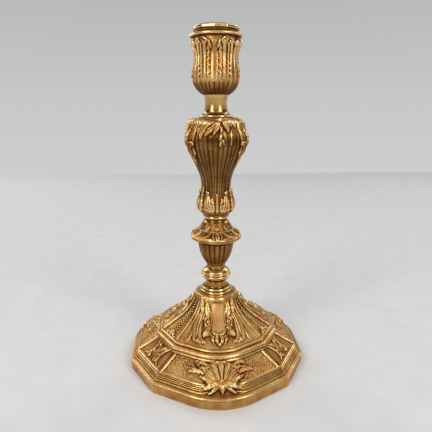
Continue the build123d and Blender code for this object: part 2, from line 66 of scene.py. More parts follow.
def side_plan(a, bow):
    """Radius of a wide side for a corner radius of 1: a round bow between two flats."""
    reach = math.cos(HALF_WIDE) + math.tan(SLOPE) * math.sin(HALF_WIDE)
    half_bow = (reach - bow) / (math.tan(SLOPE) - math.tan(SLOPE / 2))
    arc = half_bow / math.sin(SLOPE)
    centre = bow - arc
    a = np.abs(a)
    bow_end = np.arctan2(half_bow, centre + arc * math.cos(SLOPE))
    inside = centre * np.cos(a) + np.sqrt(np.maximum(arc**2 - (centre * np.sin(a)) ** 2, 0))
    flat = reach / (np.cos(a) + math.tan(SLOPE) * np.sin(a))
    return np.where(a <= bow_end, inside, flat)


def plan(wide, bow=BOW):
    """Radius of the three-sided plan for a corner radius of 1, for angles within 60 degrees."""
    short = PITCH / 2 - np.abs(wide)
    flat = math.cos(HALF_SHORT) / np.cos(short)
    return np.where(np.abs(wide) <= HALF_WIDE, side_plan(wide, bow), flat)


def curve(points, per=8):
    """Catmull-Rom curve through points."""
    p = np.array(points, float)
    if len(p) < 3:
        return [tuple(q) for q in np.linspace(p[0], p[-1], per + 1)]
    p = np.vstack([2 * p[0] - p[1], p, 2 * p[-1] - p[-2]])
    out = []
    for i in range(1, len(p) - 2):
        s = np.linspace(0, 1, per, endpoint=False)[:, None]
        a, b, c, d = p[i - 1], p[i], p[i + 1], p[i + 2]
        square, cube = 2 * a - 5 * b + 4 * c - d, 3 * b - a - 3 * c + d
        out.append(0.5 * (2 * b + (c - a) * s + square * s**2 + cube * s**3))
    out.append(p[-2][None])
    return [tuple(q) for q in np.vstack(out)]


def bead(radius, z, size, out=None, steps=8):
    """Half round standing out from a radius, with the given half height."""
    out = size if out is None else out
    turns = [math.pi * i / steps for i in range(steps + 1)]
    return [(radius + out * math.sin(a), z + size * (1 - math.cos(a))) for a in turns]


def eased(points, z0, n=10):
    """Profile eased from one (height, radius) turning point to the next."""
    out = []
    for (h0, r0), (h1, r1) in zip(points, points[1:]):
        for i in range(n):
            s = i / n
            out.append((r0 + (r1 - r0) * (1 - math.cos(math.pi * s)) / 2, z0 + h0 + (h1 - h0) * s))
    out.append((points[-1][1], z0 + points[-1][0]))
    return out


def lengths(points):
    """Length along a line at each of its points."""
    p = np.array(points, float)
    return np.r_[0, np.cumsum(np.hypot(*np.diff(p, axis=0).T))]


def labelled(sections):
    """Joins sections of a profile into rows of radius, height and place on the ornament's ruler.

    A section is its points and its length on the ruler, or None for its true length.
    """
    rows, start = [], 0.0
    last = None
    for points, ruler in sections:
        if last is not None and math.dist(last, points[0]) > 1e-6:
            points = [last] + list(points)
        d = lengths(points)
        scale = 1.0 if ruler is None else ruler / d[-1]
        for (radius, z), at in zip(points, d):
            if not rows or at > 0:
                rows.append((radius, z, start + at * scale))
        start += d[-1] * scale
        last = points[-1]
    return np.array(rows)


# Carved surfaces


def smooth(points):
    return np.array(curve(points, 7))


def hump(x):
    """Half round: 1 at 0 and 0 from 1 on."""
    return np.sqrt(np.clip(1 - x**2, 0, 1))


def rise(x, start, span):
    """Rises evenly from 0 at `start` to 1 a span further on. The span may be negative."""
    return np.clip((x - start) / span, 0, 1)


def fade(low, high, x):
    """Rises smoothly from 0 at `low` to 1 at `high`."""
    q = rise(x, low, high - low)
    return q * q * (3 - 2 * q)


def hands(centre, mirror):
    """Both sides for an ornament beside the middle line, one for an ornament on it."""
    return (1, -1) if mirror and centre[0] else (1,)


class Piece:
    """A casting as a grid: rows follow its profile, columns go round the axis.

    Ornament is carved as a height `h` over one third of the turn, in millimetres across (u) and
    along the profile (t), and repeated on the three sides. `out` is relief that moves the form
    itself, `grain` the punched ground, and a third array holds patina and painted shade on top of what
    the hollows get.
    """

    def __init__(self, name, rows, back, columns, step=0.35, turn=0.0, bow=BOW, round_plan=False):
        self.name, self.back = name, back
        d = lengths(rows[:, :2])
        keep = np.r_[True, np.diff(d) > 1e-9]
        rows, d = rows[keep], d[keep]
        count = max(2, int(round(d[-1] / step)) + 1)
        at = np.linspace(0, d[-1], count)
        self.R, self.Z, self.T = (np.interp(at, d, rows[:, i]) for i in range(3))
        third = columns // 3
        self.angle = (np.arange(third) + 0.5) / third * PITCH - PITCH / 2
        thirds = [FRONT + turn + self.angle + i * PITCH for i in range(3)]
        self.full_turn = np.concatenate(thirds)
        if callable(bow):
            bow = bow(self.Z)[:, None]
        shape = np.ones_like(self.angle) if round_plan else plan(self.angle, bow)
        self.r = self.R[:, None] * shape
        short = np.where(self.angle > 0, self.angle - PITCH / 2, self.angle + PITCH / 2)
        self.short_angle = short
        self.wide = self.angle * self.r
        self.short = short * self.r
        self.t = self.T[:, None] + 0 * self.r
        self.h = np.zeros_like(self.r)
        self.out = np.zeros_like(self.r)
        self.grain = np.zeros_like(self.r)
        self.patina_and_shade = np.zeros_like(self.r)
        self.u = self.wide

    def side(self, name):
        self.u = self.wide if name == "wide" else self.short
        return self

    def corner(self):
        """1 in the middle of a short side, and 0 at its edges."""
        return np.clip(1 - np.abs(self.short_angle) / HALF_SHORT, 0, 1)

    def patch(self, line, reach):
        """Grid points within reach of the box round a line."""
        low, high = line.min(0) - reach, line.max(0) + reach
        across = (self.u > low[0]) & (self.u < high[0])
        return np.nonzero(across & (self.t > low[1]) & (self.t < high[1]))

    def nearest(self, where, line):
        """Distance from a line and share of the way along it, for grid points."""
        p = np.c_[self.u[where], self.t[where]]
        best, share = np.full(len(p), np.inf), np.zeros(len(p))
        d = lengths(line)
        for i in range(len(line) - 1):
            a, run = line[i], line[i + 1] - line[i]
            q = p - a
            k = np.clip((q @ run) / max(run @ run, 1e-12), 0, 1)
            off = np.hypot(q[:, 0] - k * run[0], q[:, 1] - k * run[1])
            near = off < best
            best[near] = off[near]
            share[near] = ((d[i] + k * (d[i + 1] - d[i])) / d[-1])[near]
        return best, share

    def put(self, where, height):
        self.h[where] = np.maximum(self.h[where], height)

    def lines(self, points, mirror):
        line = smooth(points)
        return [line, line * (-1, 1)] if mirror else [line]

    def stroke(self, points, width, height, mirror=True):
        """Rounded ridge along a curve. Width is half the ridge, and both may change along it."""
        widths, tall = np.atleast_1d(width).astype(float), np.atleast_1d(height).astype(float)
        for line in self.lines(points, mirror):
            where = self.patch(line, widths.max())
            d, share = self.nearest(where, line)
            w = np.interp(share, np.linspace(0, 1, len(widths)), widths)
            top = np.interp(share, np.linspace(0, 1, len(tall)), tall)
            self.put(where, top * hump(d / w))

    def groove(self, points, width, depth, mirror=True):
        """Round-edged groove along a curve, its soft sides half as wide again as its width."""
        for line in self.lines(points, mirror):
            where = self.patch(line, 1.5 * width)
            d = self.nearest(where, line)[0]
            self.h[where] -= depth * np.clip(1 - (d / (1.5 * width)) ** 2, 0, 1) ** 2

    def leaf(self, points, width, height, lobes=3, mirror=True):
        """Leaf along a curve from its root: scalloped edge, sunk midrib and side veins."""
        for line in self.lines(points, mirror):
            where = self.patch(line, 1.1 * width)
            d, share = self.nearest(where, line)
            edge = np.sin(np.pi * np.clip(share, 0.03, 0.97) ** 0.85) ** 0.6
            scallop = np.abs(np.sin(np.pi * lobes * (share - 0.12 * d / width)))
            v = d / (width * edge * (0.76 + 0.24 * scallop**0.6))
            body = hump(v) * (0.55 + 0.45 * np.sin(np.pi * share))
            rib = 0.24 * np.exp(-((d / (0.18 * width)) ** 2))
            vein = 0.12 * (1 - scallop) ** 2 * np.clip(d / width, 0, 1)
            self.put(where, np.where(v < 1, height * np.clip(body - rib - vein, 0.02, 2), -9))

    def scroll(self, centre, radius, start, turns, width, height, hand=1, mirror=True):
        """Spiral ridge winding in to an eye."""
        s = np.linspace(0, 1, max(4, int(7 * turns)))
        a = math.radians(start) + hand * 2 * math.pi * turns * s
        r = radius * (1 - 0.78 * s)
        points = [(centre[0] + q * math.cos(b), centre[1] + q * math.sin(b)) for q, b in zip(r, a)]
        self.stroke(points, [width, 0.6 * width], [height, 0.85 * height], mirror)
        self.boss(centre, 0.3 * radius, 0.3 * radius, height, mirror)

    def boss(self, centre, across, along, height, mirror=True):
        for hand in hands(centre, mirror):
            du, dt = (self.u - hand * centre[0]) / across, (self.t - centre[1]) / along
            where = np.nonzero(du**2 + dt**2 < 1)
            self.put(where, height * np.sqrt(1 - (du**2 + dt**2)[where]))

    def pit(self, centre, radius, depth, mirror=True):
        for hand in hands(centre, mirror):
            q = ((self.u - hand * centre[0]) ** 2 + (self.t - centre[1]) ** 2) / (1.3 * radius) ** 2
            self.h -= np.where(q < 1, depth * (1 - q) ** 2, 0)

    def beads(self, points, count, radius, height, mirror=True):
        line = smooth(points)
        d = lengths(line)
        for at in np.linspace(0, d[-1], count):
            centre = (np.interp(at, d, line[:, 0]), np.interp(at, d, line[:, 1]))
            self.boss(centre, radius, radius, height, mirror)

    def rosette(self, centre, radius, petals, height, mirror=True):
        for hand in hands(centre, mirror):
            x, y = self.u - hand * centre[0], self.t - centre[1]
            q = np.hypot(x, y) / radius
            where = np.nonzero(q < 1.05)
            q, a = q[where], np.arctan2(y, x)[where]
            petal = np.abs(np.cos(petals * a / 2))
            edge = 0.72 + 0.3 * petal
            body = hump(q / edge) * (0.45 + 0.55 * petal)
            eye = 0.9 * hump(q / 0.3)
            self.put(where, np.where(q < edge, height * np.maximum(body, eye), -9))

    def ridge(self, where, off, half, height):
        """Half-round ridge on part of the surface, from the distance off its middle line."""
        top = np.maximum(self.h, height * hump(off / half))
        self.h = np.where(where & (off < half), top, self.h)

    def band(self, at, half, height, mask=1.0):
        q = (self.t - at) / half
        self.h = np.maximum(self.h, mask * height * hump(q))

    def stipple(self, mask, size, height):
        """Punched matt ground: smooth seeded noise with cells of the given size."""
        iu = (self.u - self.u.min()) / size
        it = (self.t - self.t.min()) / size
        table = rng.random((int(iu.max()) + 3, int(it.max()) + 3))
        i, j = iu.astype(int), it.astype(int)
        fu, ft = iu - i, it - j
        fu, ft = fu * fu * (3 - 2 * fu), ft * ft * (3 - 2 * ft)
        low = table[i, j] * (1 - fu) + table[i + 1, j] * fu
        high = table[i, j + 1] * (1 - fu) + table[i + 1, j + 1] * fu
        self.h += mask * height * (low * (1 - ft) + high * ft - 0.5)
        self.grain = np.maximum(self.grain, mask)

    def surface(self):
        """Points of the carved surface, and how hollow or proud each is against its surroundings, for
        patina and painted shade in hollows, with painted shade on undersides too.
        """
        angle = self.full_turn
        r = np.tile(self.r + self.out, (1, 3))
        h = np.tile(self.h, (1, 3))
        x = np.stack([r * np.cos(angle), r * np.sin(angle), self.Z[:, None] + 0 * r], 2)
        round_way = np.roll(x, -1, 1) - np.roll(x, 1, 1)
        up = np.gradient(x, axis=0)
        normal = np.cross(round_way, up)
        normal /= np.maximum(np.linalg.norm(normal, axis=2, keepdims=True), 1e-12)
        x = x + normal * h[:, :, None]
        # painted shade: darker the more a face looks down
        hollow = UNDERSIDE_SHADE * np.clip(-normal[:, :, 2], 0, 1)
        rows, columns = r.shape
        row_step = np.median(np.linalg.norm(np.diff(x[:, :3], axis=0), axis=2))
        column_step = np.linalg.norm(np.roll(x, -1, 1) - x, axis=2).mean(1)
        index = np.arange(columns)
        for reach, weight in HOLLOW_REACHES:
            dr = max(1, int(round(reach / row_step)))
            above = x[np.clip(np.arange(rows) + dr, 0, rows - 1)]
            below = x[np.clip(np.arange(rows) - dr, 0, rows - 1)]
            dc = np.maximum(1, np.round(reach / column_step)).astype(int)[:, None]
            left = np.take_along_axis(x, ((index - dc) % columns)[:, :, None], 1)
            right = np.take_along_axis(x, ((index + dc) % columns)[:, :, None], 1)
            lift = ((above + below + left + right) / 4 - x) * normal
            hollow += weight * np.clip(lift.sum(2) / reach, -HOLLOW_LIMIT, HOLLOW_LIMIT)
        return x, hollow

    def unseen(self, radius, z, kind):
        """Ring of the unseen side: round, square or with the three-sided plan."""
        angle = self.full_turn
        if kind == "round":
            r = radius + 0 * angle
        elif kind == "square":
            r = radius / np.maximum(np.abs(np.cos(angle)), np.abs(np.sin(angle)))
        else:
            r = radius * np.tile(plan(self.angle), 3)
        return np.c_[r * np.cos(angle), r * np.sin(angle), z + 0 * r]

    def build(self, material, body, node):
        """Closed mesh of the carved side and the unseen side, in place of a node of the CAD."""
        x, hollow = self.surface()
        back = np.array([self.unseen(*ring) for ring in self.back])
        smooth_back = np.zeros(back.shape[:2])
        x = np.concatenate([x, back])
        hollow = np.concatenate([hollow + np.tile(self.patina_and_shade, (1, 3)), smooth_back + UNSEEN_DARKENING])
        grain = np.concatenate([np.tile(self.grain, (1, 3)), smooth_back])
        rows, columns = hollow.shape
        i, j = np.meshgrid(np.arange(rows), np.arange(columns), indexing="ij")
        i2, j2 = (i + 1) % rows, (j + 1) % columns
        quads = np.stack([i * columns + j, i * columns + j2, i2 * columns + j2, i2 * columns + j], 2)
        labels = {"hollow": hollow.ravel(), "grain": grain.ravel()}
        mesh = mesh_of(self.name, x.reshape(-1, 3), quads.reshape(-1, 4), labels)
        mesh.materials.append(material)
        return placed(self.name, mesh, body, node)


def mesh_of(name, points, quads, labels):
    """Mesh of four-sided faces, in metres, with a value per point for each label."""
    mesh = bpy.data.meshes.new(name)
    mesh.vertices.add(len(points))
    mesh.vertices.foreach_set("co", (points * MM).astype(np.float32).ravel())
    mesh.loops.add(quads.size)
    mesh.loops.foreach_set("vertex_index", quads.astype(np.int32).ravel())
    mesh.polygons.add(len(quads))
    mesh.polygons.foreach_set("loop_start", np.arange(0, quads.size, 4, dtype=np.int32))
    mesh.update(calc_edges=True)
    mesh.validate()
    for label, values in labels.items():
        attribute = mesh.attributes.new(label, "FLOAT", "POINT")
        attribute.data.foreach_set("value", values.astype(np.float32))
    mesh.shade_smooth()
    mesh.set_sharp_from_angle(angle=CREASE_ANGLE)
    return mesh


def placed(name, mesh, body, node):
    piece = bpy.data.objects.new(name, mesh)
    scene.collection.objects.link(piece)
    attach(piece, body)
    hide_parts(node)
    return piece


# Materials

BLOTCH_SCALE, SPECK_SCALE, FINE_SCALE = 90, 700, 2600
GRAIN_HEIGHT = 0.12


def nodes_of(material):
    material.use_nodes = True
    tree = material.node_tree
    shader = tree.nodes["Principled BSDF"]
    return tree, shader


def link(tree, a, out, b, into):
    tree.links.new(a.outputs[out], b.inputs[into])


def ramp(tree, stops):
    node = tree.nodes.new("ShaderNodeValToRGB")
    e = node.color_ramp.elements
    while len(e) < len(stops):
        e.new(0.5)
    for element, (at, colour) in zip(e, stops):
        element.position = at
        element.color = (*colour, 1) if len(colour) == 3 else colour
    return node


def noise(tree, coord, scale, detail=2.0):
    node = tree.nodes.new("ShaderNodeTexNoise")
    node.inputs["Scale"].default_value = scale
    node.inputs["Detail"].default_value = detail
    link(tree, coord, "Object", node, "Vector")
    return node


def multiplied(tree, first, second):
    """Node that multiplies two colours; its output 2 is the result."""
    node = tree.nodes.new("ShaderNodeMix")
    node.data_type = "RGBA"
    node.blend_type = "MULTIPLY"
    node.inputs["Factor"].default_value = 1.0
    tree.links.new(first, node.inputs[6])
    tree.links.new(second, node.inputs[7])
    return node


def maths(tree, operation, a, b=None, c=None):
    node = tree.nodes.new("ShaderNodeMath")
    node.operation = operation
    for i, v in enumerate((a, b, c)):
        if v is None:
            continue
        if isinstance(v, (int, float)):
            node.inputs[i].default_value = v
        else:
            tree.links.new(v, node.inputs[i])
    return node.outputs[0]


def gilding(name, stops, rough, cast, tint):
    """Gilt bronze: gold worn bright on proud edges, and brown with patina and painted shade in hollows
    and on undersides.

    `rough` is the roughness where it is worn and where it is not, `cast` the strength of the
    casting's grain and `tint` the redness of the blotches.
    """
    material = bpy.data.materials.new(name)
    tree, shader = nodes_of(material)
    coord = tree.nodes.new("ShaderNodeTexCoord")
    hollow = tree.nodes.new("ShaderNodeAttribute")
    hollow.attribute_name = "hollow"
    grain = tree.nodes.new("ShaderNodeAttribute")
    grain.attribute_name = "grain"
    blotch = noise(tree, coord, BLOTCH_SCALE, 3)
    speck = noise(tree, coord, SPECK_SCALE, 2)
    fine = noise(tree, coord, FINE_SCALE, 2)
    place = maths(tree, "MULTIPLY_ADD", hollow.outputs["Fac"], 1.0, 0.5)
    for texture, amount in ((speck, 0.22), (blotch, 0.24)):
        shift = maths(tree, "MULTIPLY_ADD", texture.outputs["Fac"], amount, -amount / 2)
        place = maths(tree, "ADD", place, shift)
    colour = ramp(tree, stops)
    tree.links.new(place, colour.inputs["Fac"])
    red = ramp(tree, [(0.42, (1, 1, 1)), (0.72, tint)])
    link(tree, blotch, "Fac", red, "Fac")
    mix = multiplied(tree, colour.outputs["Color"], red.outputs["Color"])
    tree.links.new(mix.outputs[2], shader.inputs["Base Color"])
    shader.inputs["Metallic"].default_value = 1.0
    low, high = rough
    r = maths(tree, "MULTIPLY_ADD", place, high - low, low)
    r = maths(tree, "ADD", r, maths(tree, "MULTIPLY", grain.outputs["Fac"], 0.12))
    r = maths(tree, "ADD", r, maths(tree, "MULTIPLY_ADD", speck.outputs["Fac"], 0.1, -0.05))
    tree.links.new(r, shader.inputs["Roughness"])
    bump = tree.nodes.new("ShaderNodeBump")
    bump.inputs["Distance"].default_value = GRAIN_HEIGHT * MM
    bump.inputs["Strength"].default_value = cast
    coarse = maths(tree, "MULTIPLY", speck.outputs["Fac"], 1.2)
    height = maths(tree, "ADD", fine.outputs["Fac"], coarse)
    tree.links.new(height, bump.inputs["Height"])
    tree.links.new(bump.outputs["Normal"], shader.inputs["Normal"])
    return material


matt_stops = [
    (0.0, (0.86, 0.62, 0.28)),
    (0.34, (0.72, 0.46, 0.17)),
    (0.52, (0.56, 0.325, 0.10)),
    (0.72, (0.29, 0.145, 0.042)),
    (0.95, (0.12, 0.052, 0.016)),
]
bright_stops = [
    (0.0, (0.95, 0.75, 0.40)),
    (0.40, (0.78, 0.54, 0.22)),
    (0.58, (0.54, 0.32, 0.10)),
    (0.82, (0.19, 0.09, 0.026)),
]
gilt = gilding("gilt", matt_stops, (0.24, 0.5), 0.35, (0.86, 0.62, 0.5))
burnished = gilding("burnished", bright_stops, (0.1, 0.3), 0.12, (0.92, 0.76, 0.62))


def dull_steel():
    material = bpy.data.materials.new("oiled_steel")
    tree, shader = nodes_of(material)
    coord = tree.nodes.new("ShaderNodeTexCoord")
    speck = noise(tree, coord, 500, 3)
    colour = ramp(tree, [(0.35, (0.09, 0.08, 0.07)), (0.7, (0.3, 0.27, 0.24))])
    link(tree, speck, "Fac", colour, "Fac")
    tree.links.new(colour.outputs["Color"], shader.inputs["Base Color"])
    shader.inputs["Metallic"].default_value = 1.0
    rough = maths(tree, "MULTIPLY_ADD", speck.outputs["Fac"], 0.3, 0.3)
    tree.links.new(rough, shader.inputs["Roughness"])
    return material


steel = dull_steel()
for node in ("tie_rod", "washer", "nut"):
    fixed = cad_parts[node]
    fixed.data.materials.clear()
    fixed.data.materials.append(steel)


# Sizes, in millimetres: heights, holes and tenons are the CAD's

ROD = 3.25
TENON, TENON_HEIGHT = 4.5, 1.6
RECESS, RECESS_DEPTH = 4.65, 1.75
COLLAR_Z, COLLAR_HEIGHT = 60.65, 9.8
KNOP_Z, KNOP_HEIGHT = 70.5, 12.8
VASE_Z, CUP_Z, CUP_HEIGHT, PLATE_Z, VASE_TOP = 83.35, 85.75, 18.6, 104.35, 121.65
RING_Z, RING_HEIGHT = 121.7, 5.3
SHAFT_Z, SHAFT_HEIGHT = 127.05, 77.9
SPOOL_Z, SPOOL_HEIGHT = 205.0, 16.8
SPIGOT, SPIGOT_HEIGHT, SPIGOT_HOLE, SPIGOT_DEPTH = 5.2, 1.6, 5.35, 1.75
SOCKET_Z, SOCKET_HEIGHT, SOCKET_TURN = 221.85, 44.0, math.radians(-8)
BORE, BORE_FLOOR, THREAD, THREAD_END = 12.65, 19.0, 3.05, 15.0
NOZZLE_Z, NOZZLE_HEIGHT, NOZZLE_TURN = 265.9, 5.3, math.radians(69)
SLEEVE, SLEEVE_LENGTH, CANDLE_HOLE = 12.4, 22.8, 11.2

# The foot's rim and crown, and the dome between the belt and the crown
RIM, RIM_WALL, CROWN, CROWN_UNDER, FOOT_TOP = 75.0, 72.2, 14.0, 57.2, 60.6
DOME_Z, DOME_HEIGHT, DOME_FOOT, DOME_RUN, DOME_HOLLOW = 31.5, 27.6, 47, 28.8, 0.20
DOME_WALL = 3.96
TONGUE_HALF_WIDTH, TONGUE_DEPTH = 6.5, 3.2
RIB_ANGLE, RIB_WIDTH = math.radians(39), math.radians(6)

# Half angles of the fluted, reeded and edged parts of a wide side
FLUTED, REEDED, REED_EDGE = math.radians(42), math.radians(38), math.radians(41.5)


def tenon(bottom):
    """Underside of a piece keyed to the one below."""
    return [
        (ROD, bottom - TENON_HEIGHT, "round"),
        (TENON, bottom - TENON_HEIGHT, "square"),
        (TENON, bottom, "square"),
    ]


def rounds(points):
    return [(radius, z, "round") for radius, z in points]


def lifted(points, z):
    """Profile of radii and heights, stood at z."""
    return [(radius, z + height) for radius, height in points]


def clamped(bottom, top):
    """Unseen side of a stacked piece: recess on top, rod hole, tenon below."""
    return [
        (RECESS, top, "square"),
        (RECESS, top - RECESS_DEPTH, "square"),
        (ROD, top - RECESS_DEPTH, "round"),
    ] + tenon(bottom)


# Foot


def dome_point(share, inward=0.0):
    """Corner radius and height of the foot's dome at a share of its height."""
    radius = DOME_FOOT - DOME_RUN * share - DOME_HOLLOW * DOME_RUN * math.sin(math.pi * share)
    return radius - inward, DOME_Z + DOME_HEIGHT * share


def make_foot():
    dome = [dome_point(share) for share in np.linspace(0, 1, 14)]
    rows = labelled(
        [
            ([(RIM, 0.0), (RIM, 6.2)] + bead(74.45, 6.4, 1.1, 0.9), None),
            (curve([(73.9, 8.6), (71.6, 9.3), (70.4, 10.4), (70.0, 11.2)]), None),
            ([(69.9, 11.2), (68.2, 14.8)], 5.85),
            (curve([(67.6, 15.0), (62.0, 17.7), (56.5, 20.4), (51.6, 22.9)], 8), None),
            (bead(50.9, 23.0, 0.85, 1.5) + [(50.0, 25.0)], None),
            (bead(50.2, 25.1, 1.9, 2.5, 12) + [(48.3, 29.2)], None),
            (bead(47.6, 29.3, 1.0, 1.7) + [(46.6, 31.35)], None),
            (dome, None),
            (curve([(18.2, 59.1), (17.2, 60.0), (CROWN, FOOT_TOP)]), None),
        ]
    )
    inner = [(RECESS, FOOT_TOP, "square"), (RECESS, FOOT_TOP - RECESS_DEPTH, "square")]
    inner += rounds([(ROD, FOOT_TOP - RECESS_DEPTH), (ROD, CROWN_UNDER)])
    hollow = [(CROWN, CROWN_UNDER)]
    hollow += [dome_point(share, DOME_WALL) for share in (0.85, 0.6, 0.35, 0.12)]
    hollow += [(48.4, 28.7), (48.4, 20.2), (65.4, 12.0), (RIM_WALL, 6.4), (RIM_WALL, 0.0)]
    inner += [(radius, z, "three") for radius, z in hollow]
    foot = Piece("foot", rows, inner, 900, 0.33)
    a, s, t = np.abs(foot.angle), foot.side("wide").u, foot.t
    corner = HALF_WIDE * foot.R[:, None]
    short_half = HALF_SHORT * foot.R[:, None]
    on_wide = a < HALF_WIDE
    short = np.abs(foot.short)

    # rim reeds, which end in a curl at the middle of each wide side
    away = fade(11, 17, np.abs(s)) * on_wide + ~on_wide
    for at, half, tall in ((13.3, 0.95, 0.75), (15.2, 0.85, 0.6), (16.9, 0.8, 0.55)):
        foot.band(at, half, tall, away)
    foot.band(18.7, 0.7, 0.5, away)
    foot.band(20.9, 1.0, 0.9, fade(13, 15, np.abs(s)) * on_wide + ~on_wide)
    for y0, y1, y2 in ((13.3, 14.2, 15.4), (15.2, 16.4, 17.0), (16.9, 18.2, 18.6), (18.7, 19.9, 20.2)):
        curl = [(21, y0), (16, y0 + 0.3), (12.5, y1), (9.5, y2)]
        foot.stroke(curl, [0.7, 0.8, 0.9, 0.5], [0.55, 0.75, 0.9, 0.5])

    # stippled panel in a frame on each wide side
    panel_edge, frame_middle, frame_half = corner - 4.2, corner - 3.2, 0.95
    panel = (t > 22.6) & (t < 42.2) & on_wide & (np.abs(s) < panel_edge)
    depth = 0.7 * fade(0, 1.2, panel_edge - np.abs(s)) * fade(22.4, 23.4, t) * fade(42.6, 41.8, t)
    foot.h -= np.where(panel, depth, 0)
    off_frame = np.abs(np.abs(s) - frame_middle)
    framed = (t > 21.5) & (t < 43) & on_wide & (off_frame < frame_half)
    foot.h = np.where(framed, 0.95 * hump(off_frame / frame_half), foot.h)
    foot.band(43.6, 0.55, 0.45)
    foot.stipple(np.where(panel & (off_frame > 1), 1.0, 0.0), 0.85, 0.42)

    # fan shell with leaves, scrolls and flowers round it
    foot.boss((0, 29.5), 13.8, 12.5, 2.3)
    lobe_angle, lobe_root, hinge = math.radians(22), 1.1, 24.4
    for k in range(-3, 4):
        lean = k * lobe_angle
        length = 14.4 - 0.4 * k * k
        start = (lobe_root * k, 23.6)
        end = (start[0] * 0.4 + length * math.sin(lean) * 1.02, hinge + length * math.cos(lean))
        middle = ((start[0] + end[0]) / 2 + 0.5 * k, (start[1] + end[1]) / 2)
        tall = 3.1 - 0.16 * k * k
        heights = [tall * 0.75, tall, tall, tall * 0.75]
        foot.stroke([start, middle, end], [1.1, 2.4, 3.4, 2.8], heights, False)
    for k in range(-3, 3):
        lean = (k + 0.5) * lobe_angle
        far = (14.0 * math.sin(lean), hinge + 13.0 * math.cos(lean))
        middle = (far[0] * 0.55 + 0.3 * k, (24.5 + far[1]) / 2)
        foot.groove([((k + 0.5) * lobe_root, 24.5), middle, far], 0.32, 0.4, False)
    crest = [(-6, 41.2), (-2.5, 42.4), (0, 41.4), (2.5, 42.4), (6, 41.2)]
    foot.stroke(crest, [0.6, 1.0, 0.8, 1.0, 0.6], 1.8, False)
    foot.scroll((5.6, 40.0), 1.9, 100, 1.2, 0.65, 1.7, -1)
    foot.leaf([(9, 35.5), (12.5, 38.0), (16.5, 37.6), (19.5, 34.8)], 1.9, 1.5, 4)
    foot.leaf([(10.5, 31), (14, 34.4), (16.5, 33.0)], 2.0, 1.7, 3)
    foot.leaf([(10, 27.5), (15, 30.8), (21, 30.2), (26, 28.2)], 2.0, 1.5, 4)
    foot.leaf([(8.5, 25.5), (12.0, 25.6), (17, 27.0)], 1.7, 1.9, 3)
    foot.scroll((-17.2, 36.4), 2.6, 40, 1.1, 0.75, 1.9, 1, False)
    foot.rosette((18.2, 32.2), 2.7, 5, 2.3, False)
    foot.rosette((-20.4, 31.8), 2.3, 5, 2.0, False)
    foot.beads([(22.5, 32.4), (25.5, 31.6), (28.5, 32.6)], 4, 0.8, 1.0)
    foot.beads([(21.5, 34.6), (25.0, 35.0)], 3, 0.7, 0.9)
    for where in ((7.4, 38.4), (12.9, 29.0), (13.2, 23.4), (15.6, 35.2), (9.4, 33.4)):
        foot.pit(where, 1.2, 0.8)

    # leaf knot under the shell
    foot.leaf([(1.5, 23.6), (6.0, 21.6), (11.5, 18.8), (15.5, 16.0)], 2.2, 2.4, 3)
    foot.leaf([(1.0, 23.2), (4.4, 19.4), (7.6, 15.6), (11.0, 13.0)], 2.0, 2.2, 3)
    foot.leaf([(0, 24.5), (0, 19.4), (0, 13.2)], 2.2, 2.6, 3, False)
    foot.boss((4.8, 22.6), 1.6, 1.3, 2.6)
    foot.boss((0, 24.2), 2.0, 1.5, 3.0)

    # short sides of the slope: dark ground, a thin border, a crescent and leaves
    foot.side("short")
    foot.patina_and_shade += 0.24 * ~on_wide * fade(20, 24, t) * fade(48, 43, t)
    foot.patina_and_shade += 0.14 * ~on_wide * fade(56, 62, t)
    crease = np.clip(1 - np.abs(a - HALF_WIDE) * foot.r / 2.2, 0, 1)
    foot.patina_and_shade += 0.3 * crease * fade(20, 23, t) * fade(45, 42, t)
    border = np.abs(short - (short_half - 2.0))
    foot.ridge(~on_wide & (t > 22) & (t < 43), border, 0.7, 0.15)
    crescent = [(-9.5, 40.6), (-6.6, 36.5), (-5.8, 31), (-7.5, 26), (-10.5, 24)]
    foot.stroke(crescent, [0.6, 1.1, 1.3, 1.1, 0.6], 1.0)
    foot.leaf([(0, 25), (0, 31), (0, 38)], 3.6, 1.1, 4, False)
    foot.leaf([(0.5, 33), (3.4, 37.2), (6.5, 39.4)], 1.8, 1.2, 3)
    foot.leaf([(0.5, 28), (4.2, 30.4), (7.2, 33.6)], 1.9, 1.2, 3)
    foot.scroll((4.4, 25.4), 2.1, 90, 1.2, 0.8, 1.1, -1)
    foot.boss((0, 40.6), 2.0, 1.3, 1.3)
    foot.side("wide")

    # dome: the corner ribs, the leaf flanks and the scooped tongue of the CAD, eased together
    share = rise(foot.Z[:, None], DOME_Z, DOME_HEIGHT) + 0 * s
    in_dome = (foot.Z[:, None] > DOME_Z) & (foot.T[:, None] > 57)
    swell = 0.4 + 0.6 * np.sin(np.pi * share)
    tongue = TONGUE_HALF_WIDTH / np.maximum(foot.r, 7)
    leaf_q = rise(a, tongue, np.maximum(RIB_ANGLE - tongue, 0.05))
    rib_q = rise(a, RIB_ANGLE, RIB_WIDTH)
    scoop = -TONGUE_DEPTH * (0.08 + 0.92 * share**1.5) * np.clip(1 - (a / tongue) ** 2, 0, 1)
    flank = 1.1 * swell * 4 * leaf_q * (1 - leaf_q)
    corner_rib = 0.9 * swell * 4 * rib_q * (1 - rib_q)
    ends = fade(57.5, 62, t) * fade(101, 97, t)
    foot.out = np.where(in_dome & on_wide, (scoop + flank + corner_rib) * ends, 0)
    foot.patina_and_shade -= 0.3 * in_dome * fade(1.0, 0.75, a / tongue) * fade(72, 78, t)

